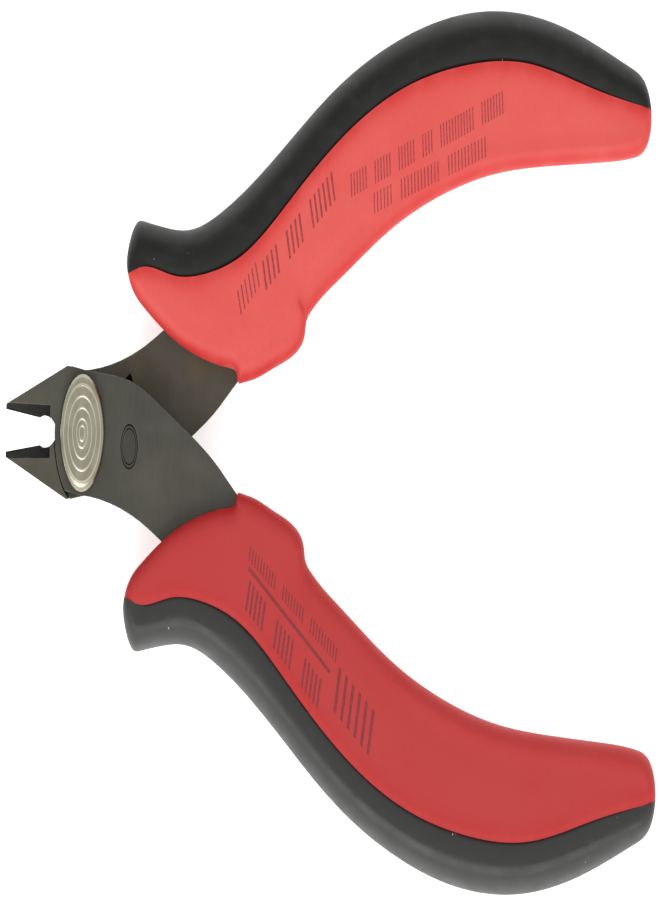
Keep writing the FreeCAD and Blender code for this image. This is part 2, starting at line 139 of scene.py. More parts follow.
def spline_through(points: Points, spacing: float, closed: bool) -> Points:
    """Evenly spaced points on the smooth cubic curve through a few given ones.

    Args:
        points: The given points, one a row.
        spacing: The distance wanted between the new points.
        closed: Whether the curve runs on from its last point to its first.

    Returns:
        The new points, one a row, without a repeated end on a closed curve.
    """
    knots = np.vstack([points, points[:1]]) if closed else points
    steps = np.linalg.norm(np.diff(knots, axis=0), axis=1)
    count = len(steps)
    system = np.zeros((count + 1, count + 1))
    target = np.zeros((count + 1, points.shape[1]))
    slopes = np.diff(knots, axis=0) / steps[:, None]
    for i in range(1, count):
        system[i, i - 1 : i + 2] = steps[i - 1], 2 * (steps[i - 1] + steps[i]), steps[i]
        target[i] = 6 * (slopes[i] - slopes[i - 1])
    if closed:
        system[0, 0], system[0, 1] = 2 * (steps[-1] + steps[0]), steps[0]
        system[0, count - 1] = steps[-1]
        target[0] = 6 * (slopes[0] - slopes[-1])
        system[count, 0], system[count, count] = 1.0, -1.0
    else:
        system[0, 0] = system[count, count] = 1.0
    bends = np.linalg.solve(system, target)
    dense = []
    for i, step in enumerate(steps):
        t = np.linspace(0.0, step, SAMPLES_PER_SPAN, endpoint=False)[:, None]
        left, right = step - t, t
        dense.append(
            bends[i] * left**3 / (6 * step)
            + bends[i + 1] * right**3 / (6 * step)
            + (knots[i] / step - bends[i] * step / 6) * left
            + (knots[i + 1] / step - bends[i + 1] * step / 6) * right
        )
    line = np.vstack([*dense, knots[-1:]])
    travel = np.concatenate([[0.0], np.cumsum(np.linalg.norm(np.diff(line, axis=0), axis=1))])
    wanted = np.linspace(0.0, travel[-1], max(FEWEST_STEPS, round(travel[-1] / spacing)) + 1)
    even = np.column_stack([np.interp(wanted, travel, line[:, k]) for k in range(points.shape[1])])
    return even[:-1] if closed else even


def left_normals(line: Points, closed: bool) -> Points:
    """Unit normals to the left of a flat line's own direction.

    Args:
        line: Points of the line, one a row.
        closed: Whether the line runs on from its last point to its first.

    Returns:
        One normal for each point.
    """
    if closed:
        along = np.roll(line, -1, axis=0) - np.roll(line, 1, axis=0)
    else:
        along = np.gradient(line, axis=0)
    normals = np.column_stack([-along[:, 1], along[:, 0]])
    return normals / np.linalg.norm(normals, axis=1)[:, None]


def nearest(points: Points, line: Points) -> tuple[Points, Points]:
    """The closest of a line's points to each given point.

    Args:
        points: Points to measure from, one a row.
        line: Points of the line, one a row.

    Returns:
        The distances, and the places in the line of the closest points.
    """
    distances, places = [], []
    for start in range(0, len(points), POINTS_AT_ONCE):
        gaps = points[start : start + POINTS_AT_ONCE, None, :] - line[None, :, :]
        squares = (gaps**2).sum(axis=2)
        best = squares.argmin(axis=1)
        places.append(best)
        distances.append(np.sqrt(squares[np.arange(len(best)), best]))
    return np.concatenate(distances), np.concatenate(places)


def ease(value: Points, start: float, end: float) -> Points:
    """A smooth step from 0 at start to 1 at end.

    Args:
        value: The numbers to ease.
        start: Where the step begins.
        end: Where the step is complete.

    Returns:
        The eased shares.
    """
    share = np.clip((value - start) / (end - start), 0.0, 1.0)
    return share * share * (3.0 - 2.0 * share)


def shell(name: str, points: Points, faces: list, material: bpy.types.Material,
          sharp_deg: float | None = None) -> bpy.types.Object:
    """A smooth-shaded mesh object in the scene.

    Args:
        name: The piece's name.
        points: Vertices in metres, one a row.
        faces: Lists of vertex numbers.
        material: The finish.
        sharp_deg: Edges that turn by more than this angle stay crisp.

    Returns:
        The new object.
    """
    mesh = bpy.data.meshes.new(name)
    mesh.from_pydata([tuple(p) for p in points], [], faces)
    mesh.validate()
    mesh.shade_smooth()
    if sharp_deg is not None:
        mesh.set_sharp_from_angle(angle=math.radians(sharp_deg))
    mesh.materials.append(material)
    made = bpy.data.objects.new(name, mesh)
    bpy.context.scene.collection.objects.link(made)
    return made


def turned(name: str, profile: Points, centre: Vector, material: bpy.types.Material,
           segments: int = 160) -> bpy.types.Object:
    """A piece turned on a lathe about a standing axis.

    Args:
        name: The piece's name.
        profile: Radius and height pairs in millimetres from the top of the axis to its foot.
        centre: A point on the axis, in metres.
        material: The finish.
        segments: Steps round the axis.

    Returns:
        The new object.
    """
    angles = np.linspace(0.0, 2 * math.pi, segments, endpoint=False)
    inner = profile[1:-1]
    points = [(centre.x, centre.y, profile[0][1] * MM)]
    for radius, height in inner:
        points += [(centre.x + radius * MM * math.cos(a), centre.y + radius * MM * math.sin(a),
                    height * MM) for a in angles]
    points.append((centre.x, centre.y, profile[-1][1] * MM))
    last, foot = len(inner) - 1, len(points) - 1
    faces = []
    for k in range(segments):
        following = (k + 1) % segments
        faces.append((0, 1 + k, 1 + following))
        for ring in range(last):
            here, below = 1 + ring * segments, 1 + (ring + 1) * segments
            faces.append((here + k, below + k, below + following, here + following))
        faces.append((foot, 1 + last * segments + following, 1 + last * segments + k))
    return shell(name, np.array(points), faces, material, sharp_deg=TURNED_CREASE_DEG)


@dataclass(frozen=True)
class Placement:
    """Where a half's own frame lies in the tool."""

    half: Half
    turn_deg: float = 5.6

    @property
    def pivot(self) -> Vector:
        """The pivot's centre line, in metres."""
        low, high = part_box("pivot_rivet")
        return (low + high) / 2

    def place(self, points: Points) -> Points:
        """Moves points from the half's own frame, in millimetres, to the tool's, in metres.

        Args:
            points: Three numbers a row.

        Returns:
            The moved points.
        """
        side = 1.0 if self.half is Half.REAR else -1.0
        turn = math.radians(self.turn_deg) * side
        x, y = points[:, 0] * MM, points[:, 1] * MM * side
        return np.column_stack([
            self.pivot.x + x * math.cos(turn) - y * math.sin(turn),
            self.pivot.y + x * math.sin(turn) + y * math.cos(turn),
            points[:, 2] * MM,
        ])


# ---------------------------------------------------------------------------------------------------
# Finishes
# ---------------------------------------------------------------------------------------------------


class NodeSheet:
    """The nodes of one material, laid down by short calls."""

    def __init__(self, name: str) -> None:
        """Starts a new material.

        Args:
            name: The material's name.
        """
        self.material = bpy.data.materials.new(name)
        self.material.use_nodes = True
        self.tree = self.material.node_tree
        self.shader = self.tree.nodes["Principled BSDF"]
        self.place = self.add("ShaderNodeTexCoord").outputs["Object"]

    def add(self, kind: str, values: dict | None = None, **settings: object) -> bpy.types.Node:
        """Adds a node.

        Args:
            kind: Blender's name for the node.
            values: Numbers, colours or links for its inputs, by input name or number.
            **settings: The node's own properties.

        Returns:
            The node.
        """
        node = self.tree.nodes.new(kind)
        for key, value in settings.items():
            setattr(node, key, value)
        for key, value in (values or {}).items():
            if isinstance(value, bpy.types.NodeSocket):
                self.tree.links.new(value, node.inputs[key])
            else:
                node.inputs[key].default_value = value
        return node

    def set(self, **values: object) -> None:
        """Sets or links the shader's own sockets, with _ in a name standing for a space.

        Args:
            **values: Numbers, colours or links by socket name.
        """
        for key, value in values.items():
            socket = self.shader.inputs[key.replace("_", " ")]
            if isinstance(value, bpy.types.NodeSocket):
                self.tree.links.new(value, socket)
            else:
                socket.default_value = value

    def noise(self, size_mm: float, detail: float = 3.0, stretch: tuple = (1.0, 1.0, 1.0),
              turn_deg: float = 0.0) -> bpy.types.NodeSocket:
        """A cloudy pattern.

        Args:
            size_mm: The size of its clouds.
            detail: How many finer layers it has.
            stretch: How much finer it is along each axis.
            turn_deg: How far the axes are turned in plan.

        Returns:
            The pattern, from 0 to 1.
        """
        mapped = self.add("ShaderNodeMapping", {
            "Vector": self.place, "Scale": stretch, "Rotation": (0.0, 0.0, math.radians(turn_deg)),
        })
        return self.add("ShaderNodeTexNoise", {
            "Vector": mapped.outputs["Vector"], "Scale": 1.0 / (size_mm * MM), "Detail": detail,
        }).outputs["Fac"]

    def remap(self, value: bpy.types.NodeSocket, low: float, high: float, start: float = 0.0,
              end: float = 1.0) -> bpy.types.NodeSocket:
        """Spreads a range of a pattern over another range.

        Args:
            value: The pattern.
            low: Its value at the start.
            high: Its value at the end.
            start: The result at low and below.
            end: The result at high and above.

        Returns:
            The new pattern.
        """
        return self.add("ShaderNodeMapRange", {
            "Value": value, "From Min": low, "From Max": high, "To Min": start, "To Max": end,
        }, interpolation_type="SMOOTHSTEP").outputs["Result"]

    def mix(self, share: bpy.types.NodeSocket, first: object, second: object) -> bpy.types.NodeSocket:
        """Blends two colours.

        Args:
            share: How much of the second shows.
            first: A colour or a link.
            second: A colour or a link.

        Returns:
            The blended colour.
        """
        node = self.add("ShaderNodeMix", {0: share, 6: first, 7: second}, data_type="RGBA")
        return node.outputs[2]

    def maths(self, operation: str, first: object, second: object = 0.0) -> bpy.types.NodeSocket:
        """Works out one number from two.

        Args:
            operation: Blender's name for the sum.
            first: A number or a link.
            second: A number or a link.

        Returns:
            The result.
        """
        return self.add("ShaderNodeMath", {0: first, 1: second}, operation=operation).outputs[0]

    def rounded(self, radius_mm: float) -> bpy.types.NodeSocket:
        """The surface's direction with its edges softened.

        Args:
            radius_mm: How far the softening reaches.

        Returns:
            The direction.
        """
        return self.add("ShaderNodeBevel", {"Radius": radius_mm * MM}, samples=6).outputs["Normal"]

    def edges(self, radius_mm: float, reach: float = 0.12) -> bpy.types.NodeSocket:
        """Where the surface is close to an edge.

        Args:
            radius_mm: How wide the edges are.
            reach: How far the direction bends before the edge counts in full.

        Returns:
            The share of edge, from 0 to 1.
        """
        true = self.add("ShaderNodeNewGeometry").outputs["True Normal"]
        dot = self.add("ShaderNodeVectorMath", {0: self.rounded(radius_mm), 1: true},
                       operation="DOT_PRODUCT").outputs["Value"]
        return self.remap(dot, 1.0, 1.0 - reach)

    def bump(self, height: bpy.types.NodeSocket, depth_mm: float,
             under: bpy.types.NodeSocket | None = None) -> bpy.types.NodeSocket:
        """A fine relief.

        Args:
            height: The pattern.
            depth_mm: Its depth.
            under: The surface's direction before the relief.

        Returns:
            The direction with the relief.
        """
        values = {"Height": height, "Distance": depth_mm * MM}
        if under is not None:
            values["Normal"] = under
        return self.add("ShaderNodeBump", values).outputs["Normal"]

    def from_axis(self, centre: Vector) -> bpy.types.NodeSocket:
        """The distance from a standing axis, in millimetres.

        Args:
            centre: A point on the axis, in metres.

        Returns:
            The distance.
        """
        moved = self.add("ShaderNodeVectorMath", {0: self.place, 1: (-centre.x, -centre.y, 0.0)},
                         operation="ADD").outputs["Vector"]
        flat = self.add("ShaderNodeVectorMath", {0: moved, 1: (1 / MM, 1 / MM, 0.0)},
                        operation="MULTIPLY").outputs["Vector"]
        return self.add("ShaderNodeVectorMath", {0: flat}, operation="LENGTH").outputs["Value"]


@dataclass(frozen=True)
class PhosphateSteel:
    """Blanked steel plate with a thin dark phosphate coat, stained, worn along its edges, and with
    painted shade on its sloped faces, such as the bevels."""

    name: str
    coat: Colour = tone(67, 67, 61)
    thin_coat: Colour = tone(78, 77, 70)
    stain: Colour = tone(82, 76, 60)
    # Painted shade: the colour given to faces that tilt away from straight up.
    painted_slope_shade: Colour = tone(26, 25, 22)
    worn: Colour = tone(128, 127, 121)
    staining: float = 0.22
    grain_turn_deg: float = 80.0

    def material(self) -> bpy.types.Material:
        """Makes the finish.

        Returns:
            The material.
        """
        sheet = NodeSheet(self.name)
        patches = sheet.remap(sheet.noise(5.0, 3.0, (0.45, 1.0, 1.0)), 0.35, 0.7)
        brushed = sheet.noise(0.35, 4.0, (1.0, 0.25, 1.0), self.grain_turn_deg)
        speckle = sheet.noise(0.12, 2.0)
        colour = sheet.mix(patches, self.coat, self.thin_coat)
        stained = sheet.remap(sheet.noise(7.0, 2.0, (0.45, 1.0, 1.0)), 0.48, 0.72, 0.0, self.staining)
        colour = sheet.mix(stained, colour, self.stain)
        colour = sheet.mix(sheet.remap(brushed, 0.35, 0.8, 0.0, 0.06), colour, self.worn)
        # Painted shade: the more a face tilts away from straight up, the darker its colour; the same
        # share also makes it rougher.
        upright = sheet.add("ShaderNodeSeparateXYZ", {
            0: sheet.add("ShaderNodeNewGeometry").outputs["True Normal"]}).outputs["Z"]
        painted_slope_shade = sheet.remap(sheet.maths("ABSOLUTE", upright), 0.985, 0.95, 0.0, 0.95)
        colour = sheet.mix(painted_slope_shade, colour, self.painted_slope_shade)
        wear = sheet.maths("MULTIPLY", sheet.edges(0.2), sheet.remap(sheet.noise(1.2, 4.0), 0.35, 0.68))
        colour = sheet.mix(sheet.maths("MULTIPLY", wear, 0.45), colour, self.worn)
        relief = sheet.bump(speckle, 0.004, sheet.rounded(0.16))
        relief = sheet.bump(brushed, 0.0015, relief)
        rough = sheet.maths("MAXIMUM", sheet.remap(brushed, 0.25, 0.75, 0.52, 0.64), painted_slope_shade)
        sheet.set(Base_Color=colour, Metallic=0.35, Normal=relief, Specular_IOR_Level=0.16,
                  Roughness=rough)
        return sheet.material


@dataclass(frozen=True)
class TurnedSteel:
    """Plain steel turned on a lathe, with fine tool marks round its axis, a warm film of oil and a
    painted highlight along each of the given ring crests.
    """

    name: str
    centre: Vector
    bright: Colour = tone(150, 147, 130)
    dull: Colour = tone(134, 131, 114)
    # Painted highlight: the colour drawn along the given ring crests.
    lit_crest: Colour = tone(214, 212, 196)
    crests: tuple = ()
    lit_crest_width: float = 0.12
    lit_crest_share: float = 0.55
    mark_pitch: float = 0.11

    def material(self) -> bpy.types.Material:
        """Makes the finish.

        Returns:
            The material.
        """
        sheet = NodeSheet(self.name)
        radius = sheet.from_axis(self.centre)
        marks = sheet.maths("SINE", sheet.maths("MULTIPLY", radius, 2 * math.pi / self.mark_pitch))
        clouds = sheet.noise(1.6, 4.0)
        colour = sheet.mix(sheet.remap(clouds, 0.3, 0.7), self.bright, self.dull)
        # Painted highlight: a bright band of colour along each of the head's ring crests, where the
        # rings catch the light.
        for lit_crest in self.crests:
            gap = sheet.maths("ABSOLUTE", sheet.maths("SUBTRACT", radius, lit_crest))
            shine = sheet.remap(gap, self.lit_crest_width, 0.0, 0.0, self.lit_crest_share)
            colour = sheet.mix(shine, colour, self.lit_crest)
        relief = sheet.bump(marks, 0.0012)
        relief = sheet.bump(sheet.noise(0.3, 3.0), 0.002, relief)
        sheet.set(Base_Color=colour, Metallic=1.0, Normal=relief,
                  Roughness=sheet.remap(clouds, 0.3, 0.7, 0.26, 0.34))
        return sheet.material


@dataclass(frozen=True)
class SpringWire:
    """Hard-drawn spring wire with a thin grey scale."""

    name: str
    wire: Colour = tone(120, 118, 112)
    scale: Colour = tone(70, 68, 64)

    def material(self) -> bpy.types.Material:
        """Makes the finish.

        Returns:
            The material.
        """
        sheet = NodeSheet(self.name)
        scale = sheet.remap(sheet.noise(0.4, 3.0), 0.4, 0.65)
        sheet.set(Base_Color=sheet.mix(scale, self.wire, self.scale), Metallic=0.9,
                  Roughness=sheet.remap(scale, 0.0, 1.0, 0.3, 0.5))
        return sheet.material


@dataclass(frozen=True)
class HardMoulding:
    """Glossy moulded plastic, faintly uneven in tone, with painted shade deepening its colour along its
    edges, its colour line and the collar's fold.
    """

    name: str
    face: Colour
    deep_tone_and_shade: Colour

    def material(self) -> bpy.types.Material:
        """Makes the finish.

        Returns:
            The material.
        """
        sheet = NodeSheet(self.name)
        flow = sheet.noise(7.0, 3.0, (0.5, 1.0, 1.0), 20.0)
        colour = sheet.mix(sheet.remap(flow, 0.3, 0.75, 0.0, 0.25), self.face, self.deep_tone_and_shade)
        colour = sheet.mix(sheet.remap(sheet.noise(0.5, 2.0), 0.45, 0.8, 0.0, 0.15), colour, self.deep_tone_and_shade)
        # Painted shade: a share stored on each vertex deepens the colour near the outline, the colour
        # line and the collar's fold.
        rim = sheet.add("ShaderNodeAttribute", attribute_name=EDGE_SHADE).outputs["Fac"]
        uneven = sheet.remap(sheet.noise(4.0, 2.0), 0.25, 0.6, 0.6, 1.0)
        colour = sheet.mix(sheet.maths("MULTIPLY", rim, uneven), colour, self.deep_tone_and_shade)
        relief = sheet.bump(sheet.noise(0.9, 2.0), 0.008)
        relief = sheet.bump(sheet.noise(0.16, 2.0), 0.003, relief)
        sheet.set(Base_Color=colour, Normal=relief, Specular_IOR_Level=0.35,
                  Roughness=sheet.remap(flow, 0.3, 0.7, 0.5, 0.58))
        return sheet.material


@dataclass(frozen=True)
class SoftGrip:
    """Black rubbery plastic with a satin skin, fine scuffs and a few specks of dust."""

    name: str
    skin: Colour = tone(22, 22, 21)
    scuff: Colour = tone(38, 38, 36)
    dust: Colour = tone(150, 150, 140)
    gloss: float = 0.5
    dust_cells: float = 620.0

    def material(self) -> bpy.types.Material:
        """Makes the finish.

        Returns:
            The material.
        """
        sheet = NodeSheet(self.name)
        scuffs = sheet.noise(2.4, 6.0, (0.6, 1.4, 1.0), 30.0)
        colour = sheet.mix(sheet.remap(scuffs, 0.45, 0.75, 0.0, 0.5), self.skin, self.scuff)
        cells = sheet.add("ShaderNodeTexVoronoi", {"Vector": sheet.place, "Scale": self.dust_cells})
        speck = sheet.remap(cells.outputs["Distance"], 0.085, 0.04)
        rare = sheet.remap(sheet.noise(2.2, 1.0), 0.57, 0.62)
        colour = sheet.mix(sheet.maths("MULTIPLY", speck, rare), colour, self.dust)
        relief = sheet.bump(sheet.noise(0.14, 3.0), 0.005)
        sheet.set(Base_Color=colour, Normal=relief, Specular_IOR_Level=self.gloss,
                  Roughness=sheet.remap(scuffs, 0.3, 0.75, 0.46, 0.58))
        return sheet.material


@dataclass(frozen=True)
class PrintedInk:
    """Thin dark ink printed on the red moulding, rubbed through in places."""

    name: str
    ink: Colour = tone(126, 44, 46)
    rubbed: Colour = tone(176, 58, 58)

    def material(self) -> bpy.types.Material:
        """Makes the finish.

        Returns:
            The material.
        """
        sheet = NodeSheet(self.name)
        rubbed = sheet.remap(sheet.noise(0.22, 3.0), 0.4, 0.7, 0.0, 0.7)
        sheet.set(Base_Color=sheet.mix(rubbed, self.ink, self.rubbed), Roughness=0.5,
                  Specular_IOR_Level=0.3)
        return sheet.material


@dataclass(frozen=True)
class PaleTable:
    """The matt white top of a light table, faintly uneven and glowing."""

    name: str
    white: Colour = (0.97, 0.97, 0.965, 1.0)
    shade: Colour = (0.95, 0.95, 0.945, 1.0)
    glow: float = 0.62

    def material(self) -> bpy.types.Material:
        """Makes the finish.

        Returns:
            The material.
        """
        sheet = NodeSheet(self.name)
        clouds = sheet.remap(sheet.noise(60.0, 3.0), 0.3, 0.7)
        sheet.set(Base_Color=sheet.mix(clouds, self.white, self.shade), Roughness=0.9,
                  Specular_IOR_Level=0.0, Emission_Color=(1.0, 1.0, 1.0, 1.0),
                  Emission_Strength=self.glow)
        return sheet.material


def finish_piece(piece: bpy.types.Object, body: str, slot: Slot, *nodes: str) -> None:
    """Lets a new piece ride on its body and stand for its CAD nodes.

    Args:
        piece: The new piece.
        body: The CAD body that it moves with.
        slot: Not used.
        *nodes: The CAD nodes that it stands for.
    """
    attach(piece, body)
    if nodes:
        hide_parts(*nodes)


def dress_node(node: str, material: bpy.types.Material) -> None:
    """Gives a CAD node its finish.

    Args:
        node: The CAD node's name.
        material: The finish.
    """
    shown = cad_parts[node]
    if not shown.material_slots:
        shown.data.materials.append(material)
    for place in shown.material_slots:
        place.material = material


# ---------------------------------------------------------------------------------------------------
# Steel parts
# ---------------------------------------------------------------------------------------------------


@dataclass
class Blades:
    """The two lapped blades, which keep their CAD shape."""

    front: PhosphateSteel = field(default_factory=lambda: PhosphateSteel("phosphate_front"))
    rear: PhosphateSteel = field(default_factory=lambda: PhosphateSteel(
        "phosphate_rear", coat=tone(73, 69, 56), stain=tone(112, 101, 70), staining=0.5,
        grain_turn_deg=60.0))

    def build(self) -> None:
        """Dresses both blades."""
        dress_node("front_blade", self.front.material())
        dress_node("rear_blade", self.rear.material())


@dataclass
class RivetJoint:
    """The turned rivet with its ringed head, the washer under it and the stop pin."""

    head_radius: float = 4.3
    head_edge: float = 0.85
    head_edge_steps: int = 9
    head_foot_bevel: float = 0.06
    shank_radius: float = 2.6
    ring_radii: tuple = (0.55, 1.05, 1.85, 2.7, 3.55)
    ring_width: float = 0.1
    dish: float = 0.06
    dish_step: float = 0.045
    dish_at_edge: float = 0.3

    # The peened end, as shares of its radius with a drop below the washer or a rise over its foot.
    peen_radius: float = 3.5
    peen_shoulder: tuple = ((1.0, 0.0), (1.0, 0.12), (0.93, 0.34))
    peen_crown: tuple = ((0.75, 0.14), (0.5, 0.03), (0.25, 0.0), (0.0, 0.02))

    groove_radius: float = 1.3
    groove: float = 0.05
    pin_bevel: float = 0.12
    pin_head_length: float = 2.5
    pin_nose_radius: float = 1.0
    pin_segments: int = 96

    def head_profile(self, seat: float, top: float) -> list:
        """The head's line from its centre to its seat on the blade.

        Args:
            seat: Height of the blade's face.
            top: Height of the ring crests.

        Returns:
            Radius and height pairs.
        """
        radii = np.arange(0.0, self.head_radius - self.head_edge, self.dish_step)
        rings = sum(np.exp(-(((radii - r) / self.ring_width) ** 2)) for r in self.ring_radii)
        valleys = self.dish * (1.0 - np.clip(rings, 0.0, 1.0))
        profile = [(float(r), float(top - v)) for r, v in zip(radii, valleys)]
        edge_height = top - self.dish_at_edge * self.dish
        for a in np.linspace(0.0, math.pi / 2, self.head_edge_steps):
            profile.append((self.head_radius - self.head_edge * (1 - math.sin(a)),
                            edge_height - self.head_edge * (1 - math.cos(a))))
        profile.append((self.head_radius, seat + self.head_foot_bevel))
        profile.append((self.head_radius - self.head_foot_bevel, seat))
        return profile

    def build(self) -> None:
        """Builds the rivet and the stop pin, and dresses the washer."""
        low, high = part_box("pivot_rivet")
        centre = (low + high) / 2
        blade_top = self.blade_face()
        foot = low.z / MM
        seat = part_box("rivet_washer")[0].z / MM
        profile = self.head_profile(blade_top, high.z / MM)
        profile += [(self.shank_radius, blade_top), (self.shank_radius, seat)]
        profile += [(self.peen_radius * share, seat - drop) for share, drop in self.peen_shoulder]
        profile += [(self.peen_radius * share, foot + rise) for share, rise in self.peen_crown]
        # Painted highlight: the head's ring crests get bright bands of colour.
        steel = TurnedSteel("turned_rivet", centre, crests=self.ring_radii).material()
        rivet = turned("rivet_turned", np.array(profile), centre, steel)
        finish_piece(rivet, Half.FRONT.value, Slot.BRIGHT_STEEL, "pivot_rivet")
        dress_node("rivet_washer", TurnedSteel(
            "turned_washer", centre, bright=tone(140, 138, 130), dull=tone(100, 98, 90)).material())
        self.build_pin()

    def blade_face(self) -> float:
        """Height of the front blade's flat face, in millimetres."""
        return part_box("stop_pin")[1].z / MM

    def build_pin(self) -> None:
        """Builds the stop pin, flush in its hole, with a bevelled edge and a groove in its face."""
        low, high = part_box("stop_pin")
        head = (high.x - low.x) / 2 / MM
        face, foot = high.z / MM, low.z / MM
        middle = face - self.pin_head_length
        profile = [
            (0.0, face), (self.groove_radius - self.groove, face),
            (self.groove_radius, face - self.groove), (self.groove_radius + self.groove, face),
            (head - self.pin_bevel, face), (head, face - self.pin_bevel), (head, middle),
            (self.pin_nose_radius, middle), (self.pin_nose_radius, foot + self.groove),
            (self.pin_nose_radius - self.groove, foot), (0.0, foot),
        ]
        steel = PhosphateSteel("phosphate_pin", coat=tone(60, 58, 53), worn=tone(88, 87, 81))
        pin = turned("pin_turned", np.array(profile), (low + high) / 2, steel.material(),
                     self.pin_segments)
        finish_piece(pin, Half.FRONT.value, Slot.DARK_STEEL, "stop_pin")


@dataclass
class ReturnSpring:
    """The short compression spring between the blades, wound once in a fixed shape that rides on the
    rear half.

    Its turns lie closer together at both ends, as on any spring that stands on a flat seat.
    """

    coil_radius: float = 0.8
    wire_radius: float = 0.15
    turns: float = 5.0
    dead_turns: float = 0.75
    dead_rise: float = 0.35
    end_inset: float = 0.4
    axis_deg: float = 13.4
    keep: float = 0.435
    wire_sides: int = 12
    steps_per_turn: int = 40
    crease_deg: float = 50.0

    def build(self) -> None:
        """Winds the spring where its CAD solid is."""
        low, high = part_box("return_spring")
        centre = (low + high) / 2 / MM
        a = math.radians(self.axis_deg)
        axis = np.array([math.sin(a), -math.cos(a), 0.0])
        across = np.array([math.cos(a), math.sin(a), 0.0])
        up = np.array([0.0, 0.0, 1.0])
        spread = (high.y - low.y) / MM / 2 - (self.coil_radius + self.wire_radius) * math.sin(a)
        half = spread / math.cos(a) - self.wire_radius * self.end_inset
        steps = int(self.turns * self.steps_per_turn)
        share = np.linspace(0.0, 1.0, steps + 1)
        dead, slow = self.dead_turns / self.turns, self.dead_rise
        rise = np.where(share < dead, share * slow, np.where(
            share > 1 - dead, 1 - (1 - share) * slow,
            dead * slow + (share - dead) / (1 - 2 * dead) * (1 - 2 * dead * slow)))
        angle = share * self.turns * 2 * math.pi
        outward = np.outer(np.cos(angle), across) + np.outer(np.sin(angle), up)
        spine = (np.array(centre) + np.outer((2 * rise - 1) * half, axis)
                 + self.coil_radius * outward)
        points, faces = [], []
        for p, out in zip(spine, outward):
            for k in range(self.wire_sides):
                t = 2 * math.pi * k / self.wire_sides
                points.append((p + self.wire_radius * (math.cos(t) * out + math.sin(t) * axis)) * MM)
        for i in range(steps):
            for k in range(self.wire_sides):
                n = (k + 1) % self.wire_sides
                here, there = i * self.wire_sides, (i + 1) * self.wire_sides
                faces.append((here + k, there + k, there + n, here + n))
        faces.append(tuple(range(self.wire_sides)))
        faces.append(tuple(reversed(range(steps * self.wire_sides, (steps + 1) * self.wire_sides))))
        spring = shell("spring_coil", np.array(points), faces, SpringWire("spring_wire").material(),
                       self.crease_deg)
        finish_piece(spring, Half.REAR.value, Slot.SPRING_STEEL, "return_spring")
        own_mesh(spring)


# ---------------------------------------------------------------------------------------------------
# Handles
# ---------------------------------------------------------------------------------------------------


@dataclass(frozen=True)
class UpperFace:
    """A handle's upper face: flat points with the triangles and the heights of both mouldings."""

    points: Points
    grip: list
    grip_heights: Points
    moulding: list
    moulding_heights: Points


